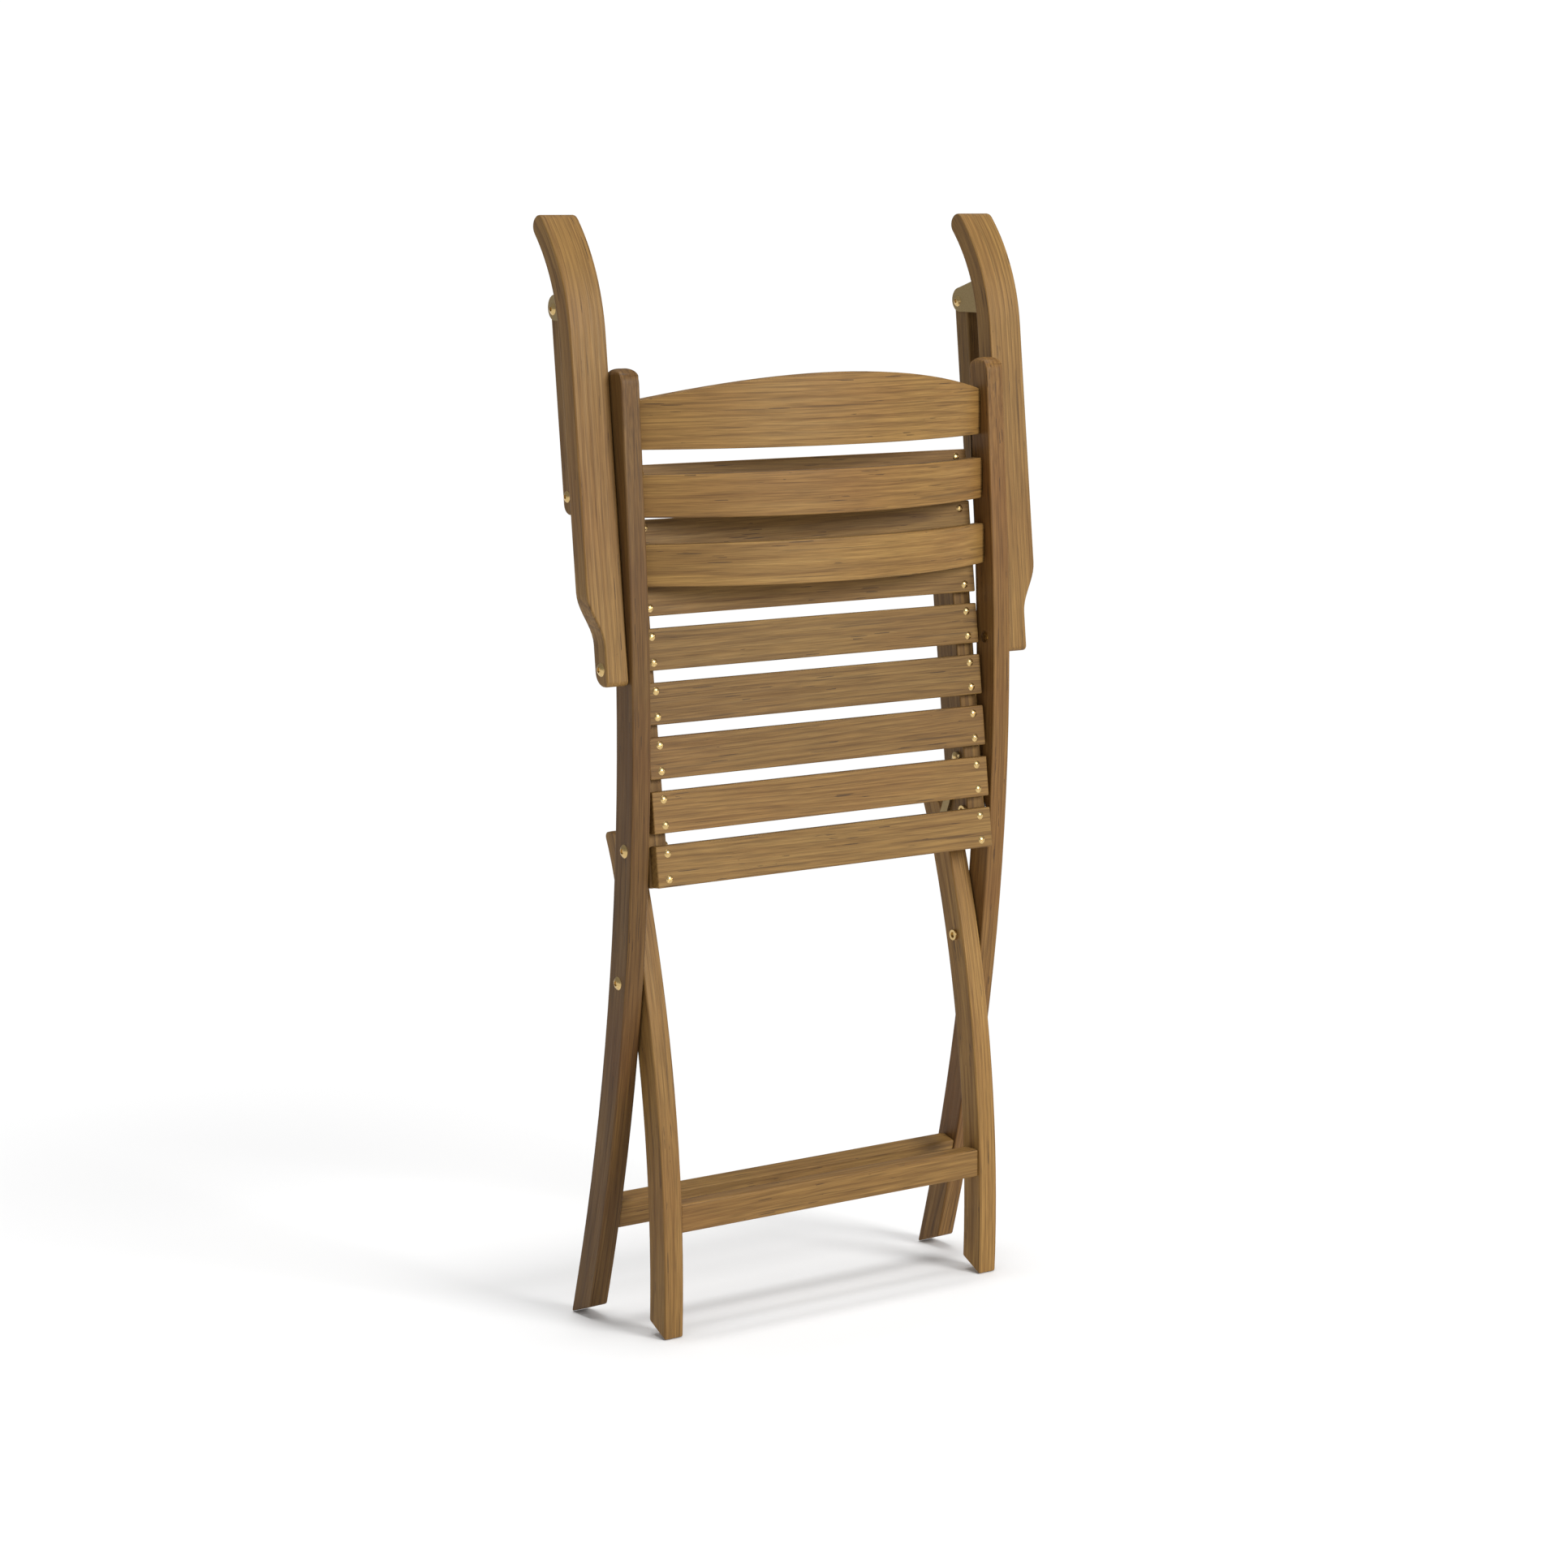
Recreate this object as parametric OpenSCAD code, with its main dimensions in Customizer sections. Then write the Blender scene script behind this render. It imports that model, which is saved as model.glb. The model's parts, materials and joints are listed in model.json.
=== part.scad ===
// Folding armchair in teak with brass fittings, drawn in its folded position.
// +Z is up, -Y is the side the sitter faces and +X is the sitter's left.
// The origin is on the floor under the middle of the folded chair. Millimetres.

/* [Frame] */
// Distance from the middle plane to the outer face of a back post
post_out = 230; // [222:1:240]
// Thickness of a back post across the chair
post_thick = 21; // [19:1:22]
// Width of a back post seen from the side
post_wide = 31; // [30:0.5:33]
// Height of the back posts with the chair folded
post_top = 957.5; // [952:0.5:965]
// Thickness of the rear legs and seat rails across the chair
rail_thick = 22; // [20:1:23]
// Width of a rear leg seen from the side
leg_wide = 29; // [28:0.5:30]
// Gap that a washer fills between a back post and the part inside it
side_gap = 2; // [1.5:0.5:3]

/* [Seat] */
// Width of a seat slat
slat_wide = 41; // [38:1:44]
// Thickness of a seat slat
slat_thick = 11.5; // [10:0.5:12]
// Distance from one seat slat to the next
slat_pitch = 52.9; // [52:0.1:54]
// Height of a seat rail below the slats
rail_high = 36; // [34:0.5:36.5]

/* [Back] */
// Depth of the bow in the back slats
back_bow = 55; // [45:1:60]
// Thickness of a back slat
back_thick = 12; // [10:0.5:12]

/* [Armrests] */
// Width of an armrest at its front
arm_front_wide = 40.5; // [36:0.5:42]
// Width of an armrest at its rear
arm_rear_wide = 24.5; // [22:0.5:26]
// Thickness of an armrest
arm_thick = 22; // [21:0.5:25]
// Width of an armrest strut seen from the side
strut_wide = 21.5; // [19:0.5:22]
// Thickness of an armrest strut across the chair
strut_thick = 17.5; // [16:0.5:18]

/* [Fasteners] */
// Radius of the pivot bolts
bolt_r = 3; // [2.5:0.1:3.5]
// Radius of the heads of the main pivot bolts
head_r = 6.75; // [6:0.25:7]
// Radius of the seat screw heads
screw_head_r = 4; // [3.5:0.25:4.5]
// Radial clearance of a bolt in its hole
fit = 0.05; // [0.02:0.01:0.1]

/* [Hidden] */
$fn = 48;
teak = "#a9814f";
teak_dark = "#936d42";
brass = "#c9a75c";
steel = "#8d8a84";

// Every point below is [y, z] in the side view, before this shift along Y,
// which puts the middle of the folded chair on the origin.
centre_y = 50.65;

// Across the chair, all measured from the middle plane
post_in = post_out - post_thick;
rail_out = post_in - side_gap;
rail_in = rail_out - rail_thick;
slat_half = rail_out - 2;
screw_x = slat_half - 13.3;
arm_gap = 1;
arm_in = post_out + arm_gap;
strut_mid = post_out + 14.5;
strut_in = strut_mid - strut_thick / 2;
strut_out = strut_mid + strut_thick / 2;
ear_gap = 0.25;
ear_thick = 2;

// Pivots
seat_pivot = [-22.5, 491];
cross_pivot = [-38, 357.5];
arm_pivot = [-18.5, 671];
bracket_pivot = [-96.5, 1013.5];
strut_pivot = [-79.5, 833.7];
link_upper = [-33, 546.5];
link_lower = [-62, 468];

// Angle from upright, and the two directions that go with it: outward to the
// rear of the folded chair, and upward along the piece
function outward(a) = [cos(a), sin(a)];
function upward(a) = [-sin(a), cos(a)];
function arc(centre, r, a0, a1, steps) =
    [for (i = [0:steps]) centre + r * outward(a0 + (a1 - a0) * i / steps)];
// End of a curved bar, with a rear and a front corner of different radii
function bar_end(centre, r, wide, a, rear, front) = concat(
    arc(centre + (r - rear) * outward(a) - rear * upward(a), rear, a, a + 90, 10),
    arc(centre + (r - wide + front) * outward(a) - front * upward(a), front, a + 90, a + 180, 5));

// Back post: a long arc with a straight top and a straight foot
post_r = 2130;
post_c = [-2 - post_r, 655];
post_a_high = 3;
post_a_low = -17;
post_sole = 20.345;
post_arc_steps = 20;
post_corner = 7;
function to_floor(p, a) = p - upward(a) * p[1] / cos(a);
post_cap_start = post_c + (post_r - post_wide / 2) * outward(post_a_high);
post_cap_rise = (post_top - post_wide / 2 - post_cap_start[1]) / cos(post_a_high);
post_cap_c = post_cap_start + post_cap_rise * upward(post_a_high);
post_toe = to_floor(post_c + (post_r - post_wide) * outward(post_a_low), post_a_low);
post_heel = post_toe + post_wide * outward(post_a_low)
    + post_wide * tan(post_sole - post_a_low) * upward(post_a_low);
post_outline = concat([post_heel],
    arc(post_c, post_r, post_a_low, post_a_high, post_arc_steps),
    arc(post_cap_c, post_wide / 2, post_a_high, post_a_high + 180, 20),
    arc(post_c, post_r - post_wide, post_a_high, post_a_low, post_arc_steps),
    [post_toe]);

// Rear leg: one long arc from the floor to its rounded top
leg_r = 1292;
leg_c = [5.6 - leg_r, 80];
leg_a_top = 19.3;
leg_a_foot = asin(-leg_c[1] / leg_r);
leg_sole = 26.771;
leg_rear_corner = 23;
leg_front_corner = 5;
leg_toe = leg_c + leg_r * outward(leg_a_foot);
leg_heel = leg_toe - leg_wide * outward(leg_a_foot)
    + leg_wide * tan(leg_sole + leg_a_foot) * upward(leg_a_foot);
leg_a_heel = asin((leg_heel[1] - leg_c[1]) / (leg_r - leg_wide));
leg_rear_end = leg_a_top - leg_rear_corner / leg_r * 180 / PI;
leg_front_end = leg_a_top - leg_front_corner / leg_r * 180 / PI;
leg_outline = concat(
    arc(leg_c, leg_r, leg_a_foot, leg_rear_end, 18),
    bar_end(leg_c, leg_r, leg_wide, leg_a_top, leg_rear_corner, leg_front_corner),
    arc(leg_c, leg_r - leg_wide, leg_front_end, leg_a_heel, 18));

// Seat: a point a distance s up the seat and d below the tops of the slats
seat_a = 6.31;
seat_start = [-1.5, 475.1];
function seat_at(s, d) = seat_start + s * upward(seat_a) - d * outward(seat_a);
slat_count = 8;
seat_length = (slat_count - 1) * slat_pitch;
screw_apart = 25.3;
rail_over = 0.3;
rail_rear_corner = 22;
rail_front_corner = 14;
rail_low = slat_thick + rail_high;
rail_rear_s = -slat_wide / 2 - rail_over;
rail_front_s = seat_length + slat_wide / 2 + rail_over;
rail_outline = concat(
    [seat_at(rail_rear_s, slat_thick), seat_at(rail_front_s, slat_thick)],
    arc(seat_at(rail_front_s - rail_front_corner, rail_low - rail_front_corner),
        rail_front_corner, seat_a + 90, seat_a + 180, 8),
    arc(seat_at(rail_rear_s + rail_rear_corner, rail_low - rail_rear_corner),
        rail_rear_corner, seat_a + 180, seat_a + 270, 10));

// Back slats: where the rear face meets the posts, and how that line leans.
// Each slat is its middle height, its depth at the ends and its two crowns.
back_a = 3;
back_slat_y = -18;
back_slat_z = 749;
tenon = 4;
tenon_shoulder = 5;
top_slat = [902.5, 46.5, 24, 0.5];
middle_slat = [834.8, 41, 0.5, 2];
lower_slat = [768, 40.4, 0.5, 2];
bow_r = (post_in * post_in + back_bow * back_bow) / (2 * back_bow);
bow_reach = 60;

// Stretchers: middle, height, thickness and slope
front_bar = [[-84, 114.3], 30.5, 20, -15];
rear_bar = [[-7.5, 120.5], 29, 20, 0];
bar_tenon_high = 12;
bar_tenon_thick = 5;

// Armrest: straight, then curling over towards the front edge of the chair
arm_a = 5.43;
arm_rear = [-6, 655];
arm_straight = 335.5;
arm_curl_r = 196;
arm_a_tip = 41.2;
arm_corner = 15;
arm_edge = 5;
arm_curl_c = arm_rear + arm_straight * upward(arm_a) - arm_curl_r * outward(arm_a);
arm_outline = concat(
    arc(arm_curl_c, arm_curl_r, arm_a, arm_a_tip, 14),
    arc(arm_curl_c + (arm_curl_r - arm_thick / 2) * outward(arm_a_tip), arm_thick / 2,
        arm_a_tip, arm_a_tip + 180, 12),
    arc(arm_curl_c, arm_curl_r - arm_thick, arm_a_tip, arm_a, 14),
    arc(arm_rear + arm_corner * upward(arm_a) - (arm_thick - arm_corner) * outward(arm_a),
        arm_corner, arm_a + 180, arm_a + 270, 8),
    arc(arm_rear + arm_edge * upward(arm_a) - arm_edge * outward(arm_a),
        arm_edge, arm_a + 270, arm_a + 360, 4));
waist_low = 694;
waist_high = 745;
arm_tall = 1120;
arm_foot = 640;
function waist(t) = arm_rear_wide + (arm_front_wide - arm_rear_wide) * (1 - cos(180 * t)) / 2;

// Bracket: a curved plate on the underside of the armrest, with two ears
bracket_a0 = 10.5;
bracket_a1 = 21.5;
bracket_r = arm_curl_r - arm_thick - 0.1;
ear_r = 12.5;
ear_c = bracket_pivot + [4, 1.5];
bracket_screw_a = 16;
bracket_screw_x = 4.5;
bracket_screw_long = 14;
bracket_screw_drop = ear_thick + 0.3;

// Strut: the bolts sit towards its front edge
strut_offset = 3;
strut_tail = 18;
strut_span = bracket_pivot - strut_pivot;
strut_a = -atan2(strut_span[0], strut_span[1]);

// Link: a strap bent to an arc through its two pivots
link_wide = 10;
link_thick = 3;
link_gap = 0.5;
link_sag = 3;
link_out = rail_in - link_gap;
link_in = link_out - link_thick;
link_vec = link_upper - link_lower;
link_len = norm(link_vec);
link_r = (link_len * link_len / 4 + link_sag * link_sag) / (2 * link_sag);
link_half_a = asin(link_len / 2 / link_r);
link_mid_a = -atan2(link_vec[0], link_vec[1]);
link_c = (link_upper + link_lower) / 2 - (link_r - link_sag) * outward(link_mid_a);
link_a0 = link_mid_a - link_half_a;
link_a1 = link_mid_a + link_half_a;

// Fasteners
head_high = 2.8;
socket_r = 2.9;
socket_deep = 1.6;
nut_r = 5.5;
nut_thick = 3;
nut_hollow = 1.8;
small_head_r = 5.75;
small_head_high = 2.4;
rivet_r = 2.5;
rivet_head_r = 4.5;
rivet_head_high = 1.6;
rivet_deep = 15;
washer_r = 8;
recess_r = 6.2;
recess_deep = 5;
screw_r = 2;
screw_long = 30;
screw_head_high = 1.5;
slot_wide = 0.9;
slot_deep = 0.7;
slot_turn = 25;
spacer_r = 7;
open_gap = 0.5;

// Shapes
module in_frame() translate([0, centre_y, 0]) children();
module on_side(side) mirror([side < 0 ? 1 : 0, 0, 0]) children();
module side_plate(x0, x1, outline)
    translate([x0, 0, 0]) rotate([90, 0, 90]) linear_extrude(x1 - x0) polygon(outline);
module cross_rod(p, x0, x1, r)
    translate([x0, p[0], p[1]]) rotate([0, 90, 0]) cylinder(h = x1 - x0, r = r);

// Domed head standing on the plane z = 0, with a hexagon socket
module domed_head(r, high, socket) {
    cap_r = (r * r + high * high) / (2 * high);
    cap_a = asin(r / cap_r);
    dome = [for (i = [0:8]) [cap_r * sin(cap_a * i / 8), high - cap_r + cap_r * cos(cap_a * i / 8)]];
    difference() {
        rotate_extrude() polygon(concat([[0, 0]], dome));
        if (socket > 0) translate([0, 0, high - socket_deep]) cylinder(h = socket_deep + 1, r = socket, $fn = 6);
    }
}

// Bolt with its head on the plane x = x_head and its shank running inwards
module cross_bolt(p, x_head, x_end, r, r_head, high, socket) {
    translate([x_head, p[0], p[1]]) rotate([0, 90, 0]) domed_head(r_head, high, socket);
    cross_rod(p, x_end, x_head, r);
}
module cross_ring(p, x0, x1, r, r_hole) difference() {
    cross_rod(p, x0, x1, r);
    cross_rod(p, x0 - 1, x1 + 1, r_hole);
}
module both_sides() {
    on_side(1) children();
    on_side(-1) children();
}

// Back frame
module bow_band(grow) {
    centre = -sqrt(bow_r * bow_r - post_in * post_in);
    reach = asin((post_in + tenon + 1) / (bow_r - back_thick - 1));
    polygon(concat(arc([0, centre], bow_r + grow, 90 - reach, 90 + reach, 40),
        arc([0, centre], bow_r - back_thick - grow, 90 + reach, 90 - reach, 40)));
}
module in_back_slat(slat)
    translate([0, back_slat_y - (slat[0] - back_slat_z) * tan(back_a), slat[0]]) children();
module bow_piece(grow, outline) intersection() {
    translate([0, 0, -bow_reach]) linear_extrude(2 * bow_reach) bow_band(grow);
    translate([0, 2 * bow_reach, 0]) rotate([90, 0, 0]) linear_extrude(4 * bow_reach) polygon(outline);
}
module back_slat(slat) {
    half = slat[1] / 2;
    step = half - tenon_shoulder;
    end = post_in + tenon;
    steps = 24;
    upper = [for (i = [0:steps]) let (t = 2 * i / steps - 1) [t * post_in, half + slat[2] * (1 - t * t)]];
    lower = [for (i = [0:steps]) let (t = 1 - 2 * i / steps) [t * post_in, -half - slat[3] * (1 - t * t)]];
    color(teak) in_frame() in_back_slat(slat) bow_piece(0, concat(
        [[-post_in, step]], upper, [[post_in, step], [end, step], [end, -step], [post_in, -step]],
        lower, [[-post_in, -step], [-end, -step], [-end, step]]));
}
module slat_mortise(slat) {
    step = slat[1] / 2 - tenon_shoulder + fit;
    end = post_in + tenon + fit;
    in_back_slat(slat) bow_piece(fit,
        [[post_in - 1, -step], [end, -step], [end, step], [post_in - 1, step]]);
}
module slanted_bar(bar, x0, x1, high, thick)
    translate([0, bar[0][0], bar[0][1]]) rotate([bar[3], 0, 0]) translate([x0, -thick / 2, -high / 2])
        cube([x1 - x0, thick, high]);
module bar_tenon(bar, x, grow)
    slanted_bar(bar, x, x + tenon + grow, bar[1] - bar_tenon_high + 2 * grow, bar[2] - 2 * bar_tenon_thick + 2 * grow);
module stretcher(bar, x) color(teak_dark) in_frame() union() {
    slanted_bar(bar, -x, x, bar[1], bar[2]);
    both_sides() bar_tenon(bar, x, 0);
}
module post_front() translate([0, 2 * post_wide, 0]) rotate([90, 0, 0]) linear_extrude(post_top)
    polygon(concat([[post_in, -1], [post_out, -1]],
        arc([post_out - post_corner, post_top - post_corner], post_corner, 0, 90, 8),
        arc([post_in + post_corner, post_top - post_corner], post_corner, 90, 180, 8)));
module back_post(side) color(teak) in_frame() on_side(side) difference() {
    intersection() {
        side_plate(post_in, post_out, post_outline);
        post_front();
    }
    slat_mortise(top_slat);
    slat_mortise(middle_slat);
    slat_mortise(lower_slat);
    translate([-fit, 0, 0]) bar_tenon(front_bar, post_in, fit);
    for (p = [seat_pivot, cross_pivot, arm_pivot]) cross_rod(p, post_in - 1, post_out + 1, bolt_r + fit);
    cross_rod(arm_pivot, post_in - 1, post_in + recess_deep, recess_r);
}
module pivot_bolts(p, x_head, x_end) color(brass) in_frame() both_sides()
    cross_bolt(p, x_head, x_end, bolt_r, head_r, head_high, socket_r);
module pivot_nuts(p, x0) color(brass) in_frame() both_sides()
    cross_ring(p, x0, x0 + nut_thick, nut_r, bolt_r + fit);
module pivot_washers() color(steel) in_frame() both_sides() {
    for (p = [seat_pivot, cross_pivot]) cross_ring(p, rail_out, post_in, washer_r, bolt_r + fit);
    cross_ring(arm_pivot, post_out, arm_in, washer_r, bolt_r + fit);
}

// Seat
module at_screws(side, first, last) for (i = [first:last], row = [-1, 1]) {
    p = seat_at((i - 1) * slat_pitch + row * screw_apart / 2, 0);
    turn = slot_turn * sin(137 * i + 71 * row + 29 * side);
    translate([side * screw_x, p[0], p[1]]) rotate([seat_a - 90, 0, 0]) rotate([0, 0, turn]) children();
}
module screw_hole() translate([0, 0, -screw_long - 1]) cylinder(h = screw_long + 2, r = screw_r + fit);
module seat_screw() {
    difference() {
        domed_head(screw_head_r, screw_head_high, 0);
        translate([-screw_head_r - 1, -slot_wide / 2, screw_head_high - slot_deep])
            cube([2 * screw_head_r + 2, slot_wide, slot_deep + 1]);
    }
    translate([0, 0, -screw_long]) cylinder(h = screw_long, r = screw_r);
}
module seat_rail(side) color(teak) in_frame() difference() {
    on_side(side) side_plate(rail_in, rail_out, rail_outline);
    at_screws(side, 1, slat_count) screw_hole();
    on_side(side) cross_rod(seat_pivot, rail_in - 1, rail_out + 1, bolt_r + fit);
    on_side(side) cross_rod(strut_pivot, rail_out - rivet_deep, rail_out + 1, bolt_r + fit);
    on_side(side) cross_rod(link_upper, rail_in - 1, rail_in + rivet_deep, rivet_r + fit);
}
module seat_slat(i) color(teak) in_frame() difference() {
    s = (i - 1) * slat_pitch;
    side_plate(-slat_half, slat_half, [seat_at(s - slat_wide / 2, 0), seat_at(s + slat_wide / 2, 0),
        seat_at(s + slat_wide / 2, slat_thick), seat_at(s - slat_wide / 2, slat_thick)]);
    at_screws(1, i, i) screw_hole();
    at_screws(-1, i, i) screw_hole();
}
module seat_slat_screws() color(brass) in_frame() for (side = [-1, 1])
    at_screws(side, 1, slat_count) seat_screw();
module strut_spacers() color(brass) in_frame() both_sides() {
    cross_rod(strut_pivot, rail_out, strut_in - open_gap, spacer_r);
    cross_rod(strut_pivot, rail_out - rivet_deep + 1, rail_out, bolt_r);
}
module link_rivets() color(brass) in_frame() both_sides() {
    translate([link_in, link_upper[0], link_upper[1]]) rotate([0, -90, 0])
        domed_head(rivet_head_r, rivet_head_high, 0);
    cross_rod(link_upper, link_in, rail_in + rivet_deep - 1, rivet_r);
}

// Rear legs
module rear_leg(side) color(teak) in_frame() on_side(side) difference() {
    side_plate(rail_in, rail_out, leg_outline);
    cross_rod(cross_pivot, rail_in - 1, rail_out + 1, bolt_r + fit);
    translate([-fit, 0, 0]) bar_tenon(rear_bar, rail_in, fit);
}

// Links
module link(side) color(brass) in_frame() on_side(side) difference() {
    union() {
        side_plate(link_in, link_out, concat(
            arc(link_c, link_r + link_wide / 2, link_a0, link_a1, 12),
            arc(link_c, link_r - link_wide / 2, link_a1, link_a0, 12)));
        cross_rod(link_upper, link_in, link_out, link_wide / 2);
        cross_rod(link_lower, link_in, link_out, link_wide / 2);
    }
    cross_rod(link_upper, link_in - 1, link_out + 1, rivet_r + fit);
    cross_rod(link_lower, link_in - 1, link_out + 1, rivet_r + fit);
}
module link_stud(side) color(brass) in_frame() on_side(side) {
    translate([link_in, link_lower[0], link_lower[1]]) rotate([0, -90, 0])
        domed_head(rivet_head_r, rivet_head_high, 0);
    cross_rod(link_lower, link_in, link_out, rivet_r);
}

// Armrests
module arm_plan() translate([0, -2 * arm_tall, 0]) rotate([90, 0, 180]) linear_extrude(4 * arm_tall)
    polygon([for (p = arm_plan_outline()) [-p[0], p[1]]]);
function arm_plan_outline() = concat(
    [[arm_in, arm_foot], [arm_in + arm_rear_wide, arm_foot]],
    [for (i = [0:10]) [arm_in + waist(i / 10), waist_low + (waist_high - waist_low) * i / 10]],
    [[arm_in + arm_front_wide, arm_tall], [arm_in, arm_tall]]);
module armrest(side) color(teak) in_frame() on_side(side) difference() {
    intersection() {
        side_plate(arm_in, arm_in + arm_front_wide, arm_outline);
        arm_plan();
    }
    cross_rod(arm_pivot, arm_in - 1, arm_in + arm_front_wide, bolt_r + fit);
    at_bracket_screws() translate([0, 0, -1]) cylinder(h = bracket_screw_long, r = screw_r + fit);
}
module at_bracket_screws() for (x = [-bracket_screw_x, bracket_screw_x]) {
    p = arm_curl_c + (arm_curl_r - arm_thick) * outward(bracket_screw_a);
    translate([strut_mid + x, p[0], p[1]]) rotate([bracket_screw_a - 90, 0, 0]) children();
}
module arm_bracket(side) color(brass) in_frame() on_side(side) difference() {
    ear_dir = ear_c - arm_curl_c - bracket_r * outward((bracket_a0 + bracket_a1) / 2);
    ear_side = ear_r * [-ear_dir[1], ear_dir[0]] / norm(ear_dir);
    union() {
        side_plate(strut_in - ear_gap - ear_thick, strut_out + ear_gap + ear_thick, concat(
            arc(arm_curl_c, bracket_r, bracket_a0, bracket_a1, 5),
            arc(arm_curl_c, bracket_r - ear_thick, bracket_a1, bracket_a0, 5)));
        for (x = [strut_in - ear_gap - ear_thick, strut_out + ear_gap]) {
            side_plate(x, x + ear_thick, [
                arm_curl_c + (bracket_r - 1) * outward(bracket_a0), ear_c + ear_side,
                ear_c - ear_side, arm_curl_c + (bracket_r - 1) * outward(bracket_a1)]);
            cross_rod(ear_c, x, x + ear_thick, ear_r);
        }
    }
    cross_rod(bracket_pivot, strut_in - 5, strut_out + 5, bolt_r + fit);
    at_bracket_screws() translate([0, 0, -ear_thick - 2]) cylinder(h = ear_thick + 4, r = screw_r + fit);
}
module bracket_screws(side) color(brass) in_frame() on_side(side) at_bracket_screws() {
    translate([0, 0, -bracket_screw_drop]) rotate([180, 0, 0]) domed_head(screw_head_r - 0.5, 1.2, 0);
    translate([0, 0, -bracket_screw_drop]) cylinder(h = bracket_screw_long, r = screw_r);
}
module bracket_pin(side) color(brass) in_frame() on_side(side) {
    ear_face = strut_out + ear_gap + ear_thick;
    inner_face = strut_in - ear_gap - ear_thick;
    cross_bolt(bracket_pivot, ear_face, inner_face, bolt_r, small_head_r, small_head_high, socket_r - 0.6);
    translate([inner_face, bracket_pivot[0], bracket_pivot[1]]) rotate([0, -90, 0])
        domed_head(small_head_r, small_head_high, socket_r - 0.6);
}

// Struts
module strut(side) color(teak_dark) in_frame() on_side(side) difference() {
    shift = strut_offset * outward(strut_a);
    top_c = bracket_pivot + shift;
    low_c = strut_pivot + shift - (strut_tail - strut_wide / 2) * upward(strut_a);
    side_plate(strut_in, strut_out, concat(
        arc(top_c, strut_wide / 2, strut_a, strut_a + 180, 14),
        arc(low_c, strut_wide / 2, strut_a + 180, strut_a + 360, 14)));
    cross_rod(bracket_pivot, strut_in - 1, strut_out + 1, bolt_r + fit);
    cross_rod(strut_pivot, strut_in - 1, strut_out + 1, bolt_r + fit);
}
module strut_bolt(side) color(brass) in_frame() on_side(side)
    cross_bolt(strut_pivot, strut_out, strut_in, bolt_r, small_head_r, small_head_high, socket_r - 0.6);

back_post(1);  // back_post_left
back_post(-1);  // back_post_right
back_slat(top_slat);  // back_slat_top
back_slat(middle_slat);  // back_slat_middle
back_slat(lower_slat);  // back_slat_lower
stretcher(front_bar, post_in);  // front_stretcher
pivot_bolts(seat_pivot, post_out, rail_in - nut_thick + nut_hollow);  // seat_pivot_bolts
pivot_nuts(seat_pivot, rail_in - nut_thick);  // seat_pivot_nuts
pivot_bolts(cross_pivot, post_out, rail_in - nut_thick + nut_hollow);  // cross_pivot_bolts
pivot_nuts(cross_pivot, rail_in - nut_thick);  // cross_pivot_nuts
pivot_bolts(arm_pivot, arm_in + arm_rear_wide, post_in + 1);  // arm_pivot_bolts
pivot_nuts(arm_pivot, post_in + recess_deep - nut_thick);  // arm_pivot_nuts
pivot_washers();
seat_rail(1);  // seat_rail_left
seat_rail(-1);  // seat_rail_right
for (i = [1:slat_count])
    seat_slat(i);
seat_slat_screws();
strut_spacers();
link_rivets();
rear_leg(1);  // rear_leg_left
rear_leg(-1);  // rear_leg_right
stretcher(rear_bar, rail_in);  // rear_stretcher
link(1);  // link_left
link(-1);  // link_right
link_stud(1);  // link_stud_left
link_stud(-1);  // link_stud_right
armrest(1);  // armrest_left
armrest(-1);  // armrest_right
arm_bracket(1);  // arm_bracket_left
arm_bracket(-1);  // arm_bracket_right
bracket_screws(1);  // bracket_screws_left
bracket_screws(-1);  // bracket_screws_right
bracket_pin(1);  // bracket_pin_left
bracket_pin(-1);  // bracket_pin_right
strut(1);  // strut_left
strut(-1);  // strut_right
strut_bolt(1);  // strut_bolt_left
strut_bolt(-1);  // strut_bolt_right
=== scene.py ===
"""Looks of the folding armchair: oiled teak with eased edges and polished brass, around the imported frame."""
import json
import math
import random

import bmesh
import bpy
from mathutils import Matrix, Vector


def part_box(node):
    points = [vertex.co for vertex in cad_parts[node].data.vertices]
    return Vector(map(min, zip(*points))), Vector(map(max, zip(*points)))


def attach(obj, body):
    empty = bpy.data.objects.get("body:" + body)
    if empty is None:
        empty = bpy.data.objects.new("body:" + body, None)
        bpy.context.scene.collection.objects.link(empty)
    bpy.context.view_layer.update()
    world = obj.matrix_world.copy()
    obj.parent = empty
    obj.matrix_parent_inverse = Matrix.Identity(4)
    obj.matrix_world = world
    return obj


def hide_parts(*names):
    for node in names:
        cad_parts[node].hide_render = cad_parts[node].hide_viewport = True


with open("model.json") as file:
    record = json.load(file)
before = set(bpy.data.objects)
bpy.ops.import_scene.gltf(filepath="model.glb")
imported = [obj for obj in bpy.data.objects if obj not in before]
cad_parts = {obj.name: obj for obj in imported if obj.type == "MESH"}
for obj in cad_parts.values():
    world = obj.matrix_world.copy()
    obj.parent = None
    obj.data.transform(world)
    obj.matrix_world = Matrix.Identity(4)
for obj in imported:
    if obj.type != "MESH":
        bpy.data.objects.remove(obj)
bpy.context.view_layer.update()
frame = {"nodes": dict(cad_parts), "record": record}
random.seed(7)
MM = 0.001
BODY_OF = {n: b for b, nodes in frame["record"]["behaviour"]["bodies"].items() for n in nodes}
SLOT_OF = {s["node"]: s["material_slot"] for s in frame["record"]["subparts"]}

# ---------------------------------------------------------------- camera
CAMERA_AT = Vector((2.0354, 2.9412, 1.0762))
CAMERA_LOOK = Vector((-0.5586, -0.8157, -0.1502))
CAMERA_ROLL = -0.0085
LENS_MM = 81.99
SENSOR_MM = 36.0


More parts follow.
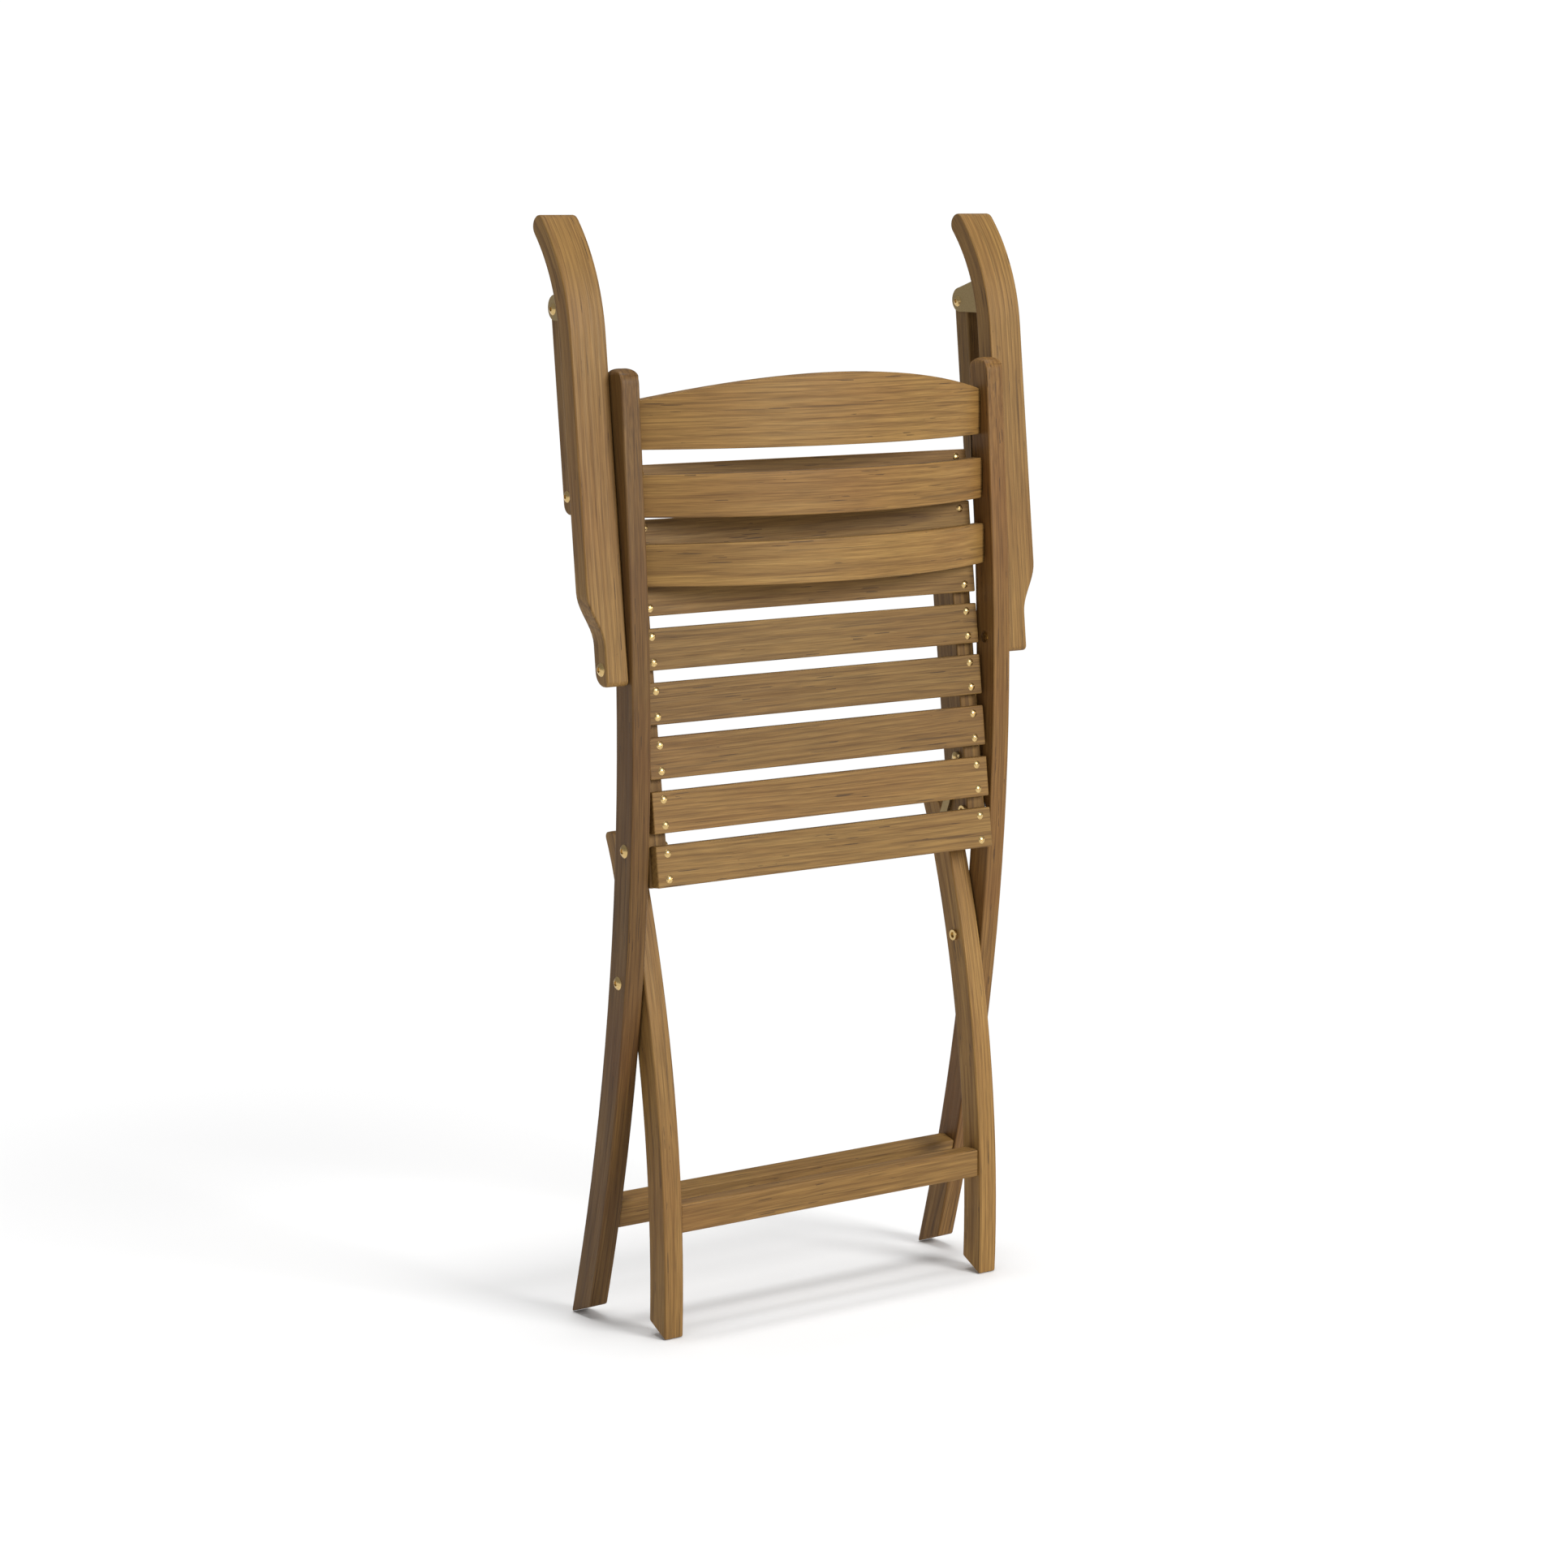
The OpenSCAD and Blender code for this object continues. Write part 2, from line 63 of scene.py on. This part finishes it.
def add_camera():
    data = bpy.data.cameras.new("camera")
    data.lens = LENS_MM
    data.sensor_width = SENSOR_MM
    data.clip_end = 100
    camera = bpy.data.objects.new("camera", data)
    bpy.context.scene.collection.objects.link(camera)
    look = CAMERA_LOOK.normalized()
    right = look.cross(Vector((0, 0, 1))).normalized()
    up = right.cross(look)
    right, up = (right + CAMERA_ROLL * up).normalized(), (up - CAMERA_ROLL * right).normalized()
    turn = Matrix((right, up, -look)).transposed().to_4x4()
    camera.matrix_world = Matrix.Translation(CAMERA_AT) @ turn
    bpy.context.scene.camera = camera


add_camera()


# ---------------------------------------------------------------- node helpers
class Nodes:
    """Short calls for building one material's node tree."""

    def __init__(self, name):
        self.material = bpy.data.materials.new(name)
        self.material.use_nodes = True
        self.tree = self.material.node_tree
        self.tree.nodes.clear()

    def add(self, kind, **settings):
        node = self.tree.nodes.new(kind)
        for key, value in settings.items():
            setattr(node, key, value)
        return node

    def join(self, source, target):
        self.tree.links.new(source, target)

    def put(self, socket, value):
        if isinstance(value, bpy.types.NodeSocket):
            self.join(value, socket)
        else:
            socket.default_value = value

    def math(self, operation, a, b=0.0):
        node = self.add("ShaderNodeMath", operation=operation)
        self.put(node.inputs[0], a)
        self.put(node.inputs[1], b)
        return node.outputs[0]

    def dot(self, vector, direction):
        node = self.add("ShaderNodeVectorMath", operation="DOT_PRODUCT")
        self.join(vector, node.inputs[0])
        node.inputs[1].default_value = direction
        return node.outputs["Value"]

    def noise(self, vector, scale, detail=3.0, rough=0.55):
        node = self.add("ShaderNodeTexNoise")
        self.join(vector, node.inputs["Vector"])
        node.inputs["Scale"].default_value = scale
        node.inputs["Detail"].default_value = detail
        node.inputs["Roughness"].default_value = rough
        return node.outputs["Fac"]

    def stretch(self, vector, scale):
        node = self.add("ShaderNodeVectorMath", operation="MULTIPLY")
        self.join(vector, node.inputs[0])
        node.inputs[1].default_value = scale
        return node.outputs[0]

    def ramp(self, factor, stops):
        node = self.add("ShaderNodeValToRGB")
        self.join(factor, node.inputs["Fac"])
        elements = node.color_ramp.elements
        while len(elements) < len(stops):
            elements.new(0.5)
        for element, (place, colour) in zip(elements, stops):
            element.position = place
            element.color = (*colour, 1)
        return node.outputs["Color"]

    def mix(self, factor, a, b, blend="MIX"):
        node = self.add("ShaderNodeMix", data_type="RGBA", blend_type=blend)
        self.put(node.inputs["Factor"], factor)
        self.put(node.inputs["A"], a)
        self.put(node.inputs["B"], b)
        return node.outputs["Result"]

    def finish(self, shader):
        output = self.add("ShaderNodeOutputMaterial")
        self.join(shader, output.inputs["Surface"])
        return self.material


# ---------------------------------------------------------------- teak
TEAK_LIGHT = (0.262, 0.154, 0.044)
TEAK_MID = (0.202, 0.111, 0.030)
TEAK_DARK = (0.112, 0.056, 0.0145)
TEAK_RED = (0.172, 0.080, 0.022)
PORE_COLOUR = (0.034, 0.017, 0.007)

# noise in the wood: its squeeze along the grain, its cells per metre, its detail and its roughness
WANDER = (0.09, 16, 2.0, 0.5)
STREAKS = (1 / 45, 260, 5.0, 0.68)
BROAD_PATCHES = (0.05, 34, 2.0, 0.5)
FIBRES = (1 / 45, 1100, 2.0, 0.6)
PORE_PATCHES = (0.3, 60, 2.0, 0.55)
DARK_LINES = (0.018, 300, 1.0, 0.4)
CLOUDS_PER_METRE = 7

RING_STEP = 5.5 * MM
RING_WANDER = 30 * MM
RING_TAPER = 0.035
RING_SHARE = 1.15
RED_SHARE = 0.35
PORE_SQUEEZE = 1 / 26
PORES_PER_METRE = 420
PORE_SIZE = 0.21
PORE_RARITY = 0.60
PORE_SHADE = 0.72
LINE_RARITY = 0.715
LINE_SHADE = 0.42
SEED_SHIFT = (0.37, 0.11, 0.23)


def straight_grain(n, centre, grain):
    """Coordinates of a straight piece: X along the grain."""
    axis = Vector(grain).normalized()
    side = axis.cross(Vector((0, 0, 1)) if abs(axis.z) < 0.8 else Vector((0, 1, 0))).normalized()
    place = n.add("ShaderNodeVectorMath", operation="SUBTRACT")
    n.join(n.add("ShaderNodeTexCoord").outputs["Object"], place.inputs[0])
    place.inputs[1].default_value = centre
    rotate = n.add("ShaderNodeVectorRotate", rotation_type="EULER_XYZ")
    n.join(place.outputs[0], rotate.inputs["Vector"])
    rotate.inputs["Rotation"].default_value = Matrix((axis, side, axis.cross(side))).to_euler("XYZ")
    return rotate.outputs["Vector"]


def bent_grain(n, bend):
    """Coordinates of a bent piece: X along its curve, Y outwards from the centre of the bend."""
    place = n.add("ShaderNodeVectorMath", operation="SUBTRACT")
    n.join(n.add("ShaderNodeTexCoord").outputs["Object"], place.inputs[0])
    place.inputs[1].default_value = bend["centre"]
    along = n.dot(place.outputs[0], bend["along"])
    outwards = n.dot(place.outputs[0], bend["outwards"])
    before = n.math("MINIMUM", along, 0.0) if bend["straight_before"] else 0.0
    round_part = n.math("SUBTRACT", along, before)
    turned = n.math("MULTIPLY", n.math("ARCTAN2", round_part, outwards), bend["radius"])
    along_squared = n.math("POWER", n.math("ABSOLUTE", round_part), 2.0)
    reach = n.math("SQRT", n.math("ADD", along_squared, n.math("POWER", outwards, 2.0)))
    joined = n.add("ShaderNodeCombineXYZ")
    n.join(n.math("ADD", turned, before), joined.inputs["X"])
    n.join(n.math("SUBTRACT", reach, bend["radius"]), joined.inputs["Y"])
    n.join(n.dot(place.outputs[0], bend["along"].cross(bend["outwards"])), joined.inputs["Z"])
    return joined.outputs["Vector"]


def grain_noise(n, where, settings):
    """Noise drawn out along the grain, from one of the settings above."""
    squeeze, per_metre, detail, rough = settings
    return n.noise(n.stretch(where, (squeeze, 1, 1)), per_metre, detail, rough)


def growth_rings(n, local, seeded, heart):
    """Late wood, 0 to 1, in rings around the tree's centre, bent by slow noise along the piece."""
    place = n.add("ShaderNodeVectorMath", operation="MULTIPLY_ADD")
    n.join(local, place.inputs[0])
    place.inputs[1].default_value = (RING_TAPER, 1, 1)
    place.inputs[2].default_value = (0, heart[0], heart[1])
    size = n.add("ShaderNodeVectorMath", operation="LENGTH")
    n.join(place.outputs[0], size.inputs[0])
    wander = n.math("MULTIPLY", grain_noise(n, seeded, WANDER), RING_WANDER)
    ring = n.math("FRACT", n.math("DIVIDE", n.math("ADD", size.outputs["Value"], wander), RING_STEP))
    return n.ramp(ring, [(0.0, (0, 0, 0)), (0.55, (0.12, 0.12, 0.12)), (0.90, (1, 1, 1)), (1.0, (0, 0, 0))])


def open_pores(n, seeded, late):
    """Short dashes, in patches and more of them in the late wood."""
    dash = n.add("ShaderNodeTexVoronoi", feature="F1", distance="EUCLIDEAN")
    n.join(n.stretch(seeded, (PORE_SQUEEZE, 1, 1)), dash.inputs["Vector"])
    dash.inputs["Scale"].default_value = PORES_PER_METRE
    near = n.math("LESS_THAN", dash.outputs["Distance"], PORE_SIZE)
    patches = n.math("ADD", grain_noise(n, seeded, PORE_PATCHES), n.math("MULTIPLY", late, 0.10))
    return n.math("MULTIPLY", near, n.math("GREATER_THAN", patches, PORE_RARITY))


def teak(name, centre, grain, tone_and_shade, red, seed, heart, bend):
    """Oiled teak with its grain along the piece. heart is how far the tree's centre lies from the piece."""
    n = Nodes(name)
    local = bent_grain(n, bend) if bend else straight_grain(n, centre, grain)
    shift = n.add("ShaderNodeVectorMath", operation="ADD")
    n.join(local, shift.inputs[0])
    shift.inputs[1].default_value = tuple(seed * part for part in SEED_SHIFT)
    seeded = shift.outputs[0]
    late = growth_rings(n, local, seeded, heart)
    streak = grain_noise(n, seeded, STREAKS)
    broad = grain_noise(n, seeded, BROAD_PATCHES)
    fibre = grain_noise(n, seeded, FIBRES)
    cloud = n.noise(seeded, CLOUDS_PER_METRE, 2.0, 0.5)
    # colour: streaks, darker late wood, redder clouds, the board's tone (partly painted shade) and fine fibres
    body = n.ramp(streak, [(0.24, TEAK_DARK), (0.46, TEAK_MID), (0.72, TEAK_LIGHT)])
    late_wood = n.math("MULTIPLY", late, n.math("MULTIPLY", broad, RING_SHARE))
    body = n.mix(late_wood, body, (*TEAK_DARK, 1))
    redder = n.ramp(cloud, [(0.42, (0, 0, 0)), (0.75, (RED_SHARE + red,) * 3)])
    body = n.mix(redder, body, (*TEAK_RED, 1))
    # the board's tone, partly painted shade, scales its whole colour
    shade = 1.0 + tone_and_shade
    body = n.mix(1.0, body, (shade, shade * (1 - 0.25 * red), shade * (1 - 0.4 * red), 1), "MULTIPLY")
    fine = n.ramp(fibre, [(0.30, (0.70, 0.68, 0.65)), (0.62, (1.12, 1.12, 1.12))])
    body = n.mix(1.0, body, fine, "MULTIPLY")
    # short pores and a few longer dark lines
    pore = open_pores(n, seeded, late)
    body = n.mix(n.math("MULTIPLY", pore, PORE_SHADE), body, (*PORE_COLOUR, 1))
    line = n.math("GREATER_THAN", grain_noise(n, seeded, DARK_LINES), LINE_RARITY)
    dark = n.math("MULTIPLY", line, LINE_SHADE)
    body = n.mix(dark, body, (*PORE_COLOUR, 1))
    # surface: light streaks are smoother, pores and dark lines lie deeper
    rough = n.ramp(streak, [(0.3, (0.62,) * 3), (0.7, (0.47,) * 3)])
    depth = n.math("ADD", n.math("MULTIPLY", pore, 1.2), dark)
    height = n.math("SUBTRACT", n.math("MULTIPLY", fibre, 0.5), depth)
    bump = n.add("ShaderNodeBump")
    bump.inputs["Strength"].default_value = 0.22
    bump.inputs["Distance"].default_value = 0.6 * MM
    n.join(height, bump.inputs["Height"])
    shader = n.add("ShaderNodeBsdfPrincipled")
    n.join(body, shader.inputs["Base Color"])
    n.join(rough, shader.inputs["Roughness"])
    n.join(bump.outputs["Normal"], shader.inputs["Normal"])
    shader.inputs["Specular IOR Level"].default_value = 0.25
    return n.finish(shader.outputs["BSDF"])


# ---------------------------------------------------------------- metal
PATCHES_PER_METRE = 900.0
MARKS_PER_PATCH = 4
MARK_SQUEEZE = 0.12
MARK_ROUGHNESS = 0.16


def metal(name, colour, dull, roughness):
    """Polished metal with faint wear marks and patches."""
    n = Nodes(name)
    where = n.add("ShaderNodeTexCoord").outputs["Object"]
    patch = n.noise(where, PATCHES_PER_METRE, 3.0, 0.6)
    marks = n.noise(n.stretch(where, (1, 1, MARK_SQUEEZE)), PATCHES_PER_METRE * MARKS_PER_PATCH, 2.0, 0.6)
    tint = n.mix(n.ramp(patch, [(0.38, (0, 0, 0)), (0.72, (1, 1, 1))]), (*colour, 1), (*dull, 1))
    rough = n.ramp(marks, [(0.3, (roughness,) * 3), (0.75, (roughness + MARK_ROUGHNESS,) * 3)])
    bump = n.add("ShaderNodeBump")
    bump.inputs["Strength"].default_value = 0.08
    bump.inputs["Distance"].default_value = 0.1 * MM
    n.join(marks, bump.inputs["Height"])
    shader = n.add("ShaderNodeBsdfPrincipled")
    n.join(tint, shader.inputs["Base Color"])
    n.join(rough, shader.inputs["Roughness"])
    n.join(bump.outputs["Normal"], shader.inputs["Normal"])
    shader.inputs["Metallic"].default_value = 1.0
    return n.finish(shader.outputs["BSDF"])


BRASS = metal("brass", (0.66, 0.47, 0.21), (0.48, 0.33, 0.13), 0.22)
# darker copy of the brass, with shade painted into its colour and made rougher, for the flat bracket and link
# plates
PLATE_PAINTED_SHADE = metal("brass_plate_painted_shade", (0.35, 0.26, 0.13), (0.27, 0.195, 0.09), 0.44)
STEEL = metal("steel", (0.50, 0.48, 0.45), (0.38, 0.35, 0.32), 0.34)

# ---------------------------------------------------------------- wooden pieces
# how far the edges are eased; edges shorter than SHORT_EDGE are steps of a round one and stay as they are
EASE = 2.0 * MM
EASE_OF = {"teak_seat": 1.3 * MM, "teak_back": 1.3 * MM}
SHORT_EDGE = 1.75 * MM
WELD = 0.005 * MM
BOW_WELD = 1.6 * MM
FLAT = math.radians(0.4)
SHARP = math.radians(38)
# how far the grain of a leaning piece goes to the rear for each metre of height
LEAN_OF = {"seat_rail": -0.11, "strut": -0.083}


def wood_piece(node, ease, weld):
    """The CAD node's own shape with its long edges eased, as a new piece that stands for it."""
    source = frame["nodes"][node]
    shape = bmesh.new()
    shape.from_mesh(source.data)
    bmesh.ops.remove_doubles(shape, verts=shape.verts, dist=weld)
    bmesh.ops.dissolve_limit(shape, angle_limit=FLAT, verts=shape.verts, edges=shape.edges)
    sharp = [
        e for e in shape.edges
        if len(e.link_faces) == 2 and e.calc_face_angle(0) > SHARP and e.calc_length() > SHORT_EDGE
    ]
    bmesh.ops.bevel(
        shape, geom=sharp, offset=ease, offset_type="OFFSET", segments=3, profile=0.5,
        affect="EDGES", clamp_overlap=False, miter_outer="ARC",
    )
    return add_mesh(node + "_teak", shape, node)


def add_mesh(name, shape, node):
    mesh = bpy.data.meshes.new(name)
    for face in shape.faces:
        face.smooth = True
    shape.to_mesh(mesh)
    shape.free()
    piece = bpy.data.objects.new(name, mesh)
    bpy.context.scene.collection.objects.link(piece)
    even = piece.modifiers.new("even_normals", "WEIGHTED_NORMAL")
    even.mode = "FACE_AREA"
    even.weight = 80
    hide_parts(node)
    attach(piece, BODY_OF[node])
    return piece


def grain_of(node):
    """Direction of the grain: along the longest side of the node's box, tilted as the piece is."""
    low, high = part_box(node)
    size = high - low
    if size.x > size.z:
        return Vector((1, 0, 0))
    lean = next((v for start, v in LEAN_OF.items() if node.startswith(start)), 0)
    return Vector((0, lean, 1))


def bend_around(centre, radius, along=Vector((0, 0, 1)), outwards=Vector((0, 1, 0)), straight_before=False):
    """A bend around a centre. The grain sets off along one direction and may run straight before it."""
    return {
        "centre": centre,
        "radius": radius,
        "along": along,
        "outwards": outwards,
        "straight_before": straight_before,
    }


ARM_LEAN = math.radians(5.43)
ARM_START = Vector((0, 0.0447, 0.655))
ARM_STRAIGHT = 0.3355
ARM_CURL = 0.196


def arm_bend():
    """An armrest leans forward, runs straight and then curls to the rear."""
    up = Vector((0, -math.sin(ARM_LEAN), math.cos(ARM_LEAN)))
    rear = Vector((0, math.cos(ARM_LEAN), math.sin(ARM_LEAN)))
    centre = ARM_START + ARM_STRAIGHT * up - ARM_CURL * rear
    return bend_around(centre, 0.185, up, rear, straight_before=True)


# the bends that the grain of the curved pieces follows, in the frame's metres
BEND_OF = {
    "back_post": bend_around((0, -2.0814, 0.655), 2.115),
    "rear_leg": bend_around((0, -1.2358, 0.080), 1.278),
    "back_slat": bend_around((0, -0.342, 0.837), 0.418, along=Vector((-1, 0, 0))),
    "armrest": arm_bend(),
}

# how much lighter or darker each board is than the rest: partly the boards' own tone, partly painted shade on
# pieces that lie in shade, most on the left back post, the struts and the seat slats
TONE_AND_SHADE_OF = {
    "back_post_left": -0.40, "back_post_right": -0.14, "armrest_left": 0.04, "armrest_right": 0.03,
    "back_slat_top": 0.12, "back_slat_middle": 0.04, "back_slat_lower": 0.10,
    "rear_leg_left": 0.06, "rear_leg_right": 0.22,
    "seat_slat_3": -0.14, "seat_slat_4": -0.14, "seat_slat_5": -0.12,
    "seat_slat_6": -0.10, "seat_slat_7": -0.06, "seat_slat_8": -0.05,
    "seat_rail_left": -0.06, "seat_rail_right": -0.06, "strut_left": -0.15, "strut_right": -0.15,
}
POST_RED = 0.35
MISCUT = 0.012  # how far the grain may stray from the piece's own direction


def teak_for(node):
    """This board's own teak: its tone, partly painted shade, its redness, place in the tree and slightly askew
    grain.
    """
    low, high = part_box(node)
    centre = (low + high) / 2
    tone_and_shade = TONE_AND_SHADE_OF.get(node, 0.0) + random.uniform(-0.03, 0.03)
    red = random.uniform(0.0, 0.15) + (POST_RED if node.startswith("back_post") else 0.0)
    heart = (random.uniform(0.02, 0.07), random.uniform(-0.09, 0.03))
    askew = Vector((random.uniform(-MISCUT, MISCUT), 0, random.uniform(-MISCUT, MISCUT)))
    seed = random.uniform(0, 40)
    bent = next((b for start, b in BEND_OF.items() if node.startswith(start)), None)
    return teak("teak_" + node, centre, grain_of(node) + askew, tone_and_shade, red, seed, heart, bent)


for node, slot in SLOT_OF.items():
    if slot.startswith("teak"):
        look = teak_for(node)
        weld = BOW_WELD if slot == "teak_back" else WELD
        piece = wood_piece(node, EASE_OF.get(slot, EASE), weld)
        piece.data.materials.append(look)

for node, slot in SLOT_OF.items():
    if slot in ("brass_fittings", "steel_washers"):
        fitting = frame["nodes"][node]
        fitting.data.materials.clear()
        # the flat bracket and link plates take the brass with painted shade
        flat_brass_painted_shade = node.startswith(("arm_bracket", "link_left", "link_right"))
        look = STEEL if slot == "steel_washers" else PLATE_PAINTED_SHADE if flat_brass_painted_shade else BRASS
        fitting.data.materials.append(look)

# ---------------------------------------------------------------- floor and light
FLOOR_HALF = 60.0
FLOOR_SHADES = (0.775, 0.785)
FLOOR_GLOW = 1.03
FADE_START = 0.6
FADE_END = 1.5


def add_floor():
    """Pale floor that fades into even white away from the chair, so that no horizon shows."""
    mesh = bpy.data.meshes.new("floor")
    h = FLOOR_HALF
    mesh.from_pydata([(-h, -h, 0), (h, -h, 0), (h, h, 0), (-h, h, 0)], [], [(0, 1, 2, 3)])
    floor = bpy.data.objects.new("floor", mesh)
    bpy.context.scene.collection.objects.link(floor)
    n = Nodes("floor")
    where = n.add("ShaderNodeTexCoord").outputs["Object"]
    shade = n.ramp(n.noise(where, 0.6, 2.0), [(0.3, (FLOOR_SHADES[0],) * 3), (0.7, (FLOOR_SHADES[1],) * 3)])
    shader = n.add("ShaderNodeBsdfPrincipled")
    n.join(shade, shader.inputs["Base Color"])
    shader.inputs["Roughness"].default_value = 0.9
    glow = n.add("ShaderNodeEmission")
    glow.inputs["Strength"].default_value = FLOOR_GLOW
    reach = n.add("ShaderNodeVectorMath", operation="LENGTH")
    n.join(where, reach.inputs[0])
    fade = n.add("ShaderNodeMapRange", interpolation_type="SMOOTHSTEP")
    n.join(reach.outputs["Value"], fade.inputs["Value"])
    fade.inputs["From Min"].default_value = FADE_START
    fade.inputs["From Max"].default_value = FADE_END
    blend = n.add("ShaderNodeMixShader")
    n.join(fade.outputs["Result"], blend.inputs["Fac"])
    n.join(shader.outputs["BSDF"], blend.inputs[1])
    n.join(glow.outputs["Emission"], blend.inputs[2])
    floor.data.materials.append(n.finish(blend.outputs["Shader"]))


def add_key(place, target, size, power):
    """Large soft lamp that lights the side that the camera sees."""
    data = bpy.data.lights.new("key", "AREA")
    data.shape = "DISK"
    data.size = size
    data.energy = power
    lamp = bpy.data.objects.new("key", data)
    lamp.location = place
    lamp.rotation_euler = (Vector(target) - Vector(place)).to_track_quat("-Z", "Y").to_euler()
    bpy.context.scene.collection.objects.link(lamp)


def add_overhead(strength, spread):
    """Soft, even light from straight above, which gives the shadow between the feet."""
    data = bpy.data.lights.new("overhead", "SUN")
    data.energy = strength
    data.angle = spread
    lamp = bpy.data.objects.new("overhead", data)
    bpy.context.scene.collection.objects.link(lamp)


def add_world(seen, light, mirrored):
    """White studio: its strength where the camera sees it, for the light it gives and in reflections."""
    world = bpy.data.worlds.new("studio")
    bpy.context.scene.world = world
    world.use_nodes = True
    tree = world.node_tree
    direct = tree.nodes.new("ShaderNodeLightPath")
    base = tree.nodes.new("ShaderNodeMapRange")
    tree.links.new(direct.outputs["Is Glossy Ray"], base.inputs["Value"])
    base.inputs["To Min"].default_value = light
    base.inputs["To Max"].default_value = mirrored
    strength = tree.nodes.new("ShaderNodeMapRange")
    tree.links.new(direct.outputs["Is Camera Ray"], strength.inputs["Value"])
    tree.links.new(base.outputs["Result"], strength.inputs["To Min"])
    strength.inputs["To Max"].default_value = seen
    background = tree.nodes["Background"]
    background.inputs["Color"].default_value = (1, 1, 1, 1)
    tree.links.new(strength.outputs["Result"], background.inputs["Strength"])


add_floor()
add_world(seen=1.05, light=0.47, mirrored=0.32)
add_overhead(strength=1.95, spread=math.radians(32))
add_key(place=(-1.4, 4.4, 2.4), target=(0, 0, 0.55), size=1.9, power=210)
bpy.context.scene.view_settings.view_transform = "Standard"
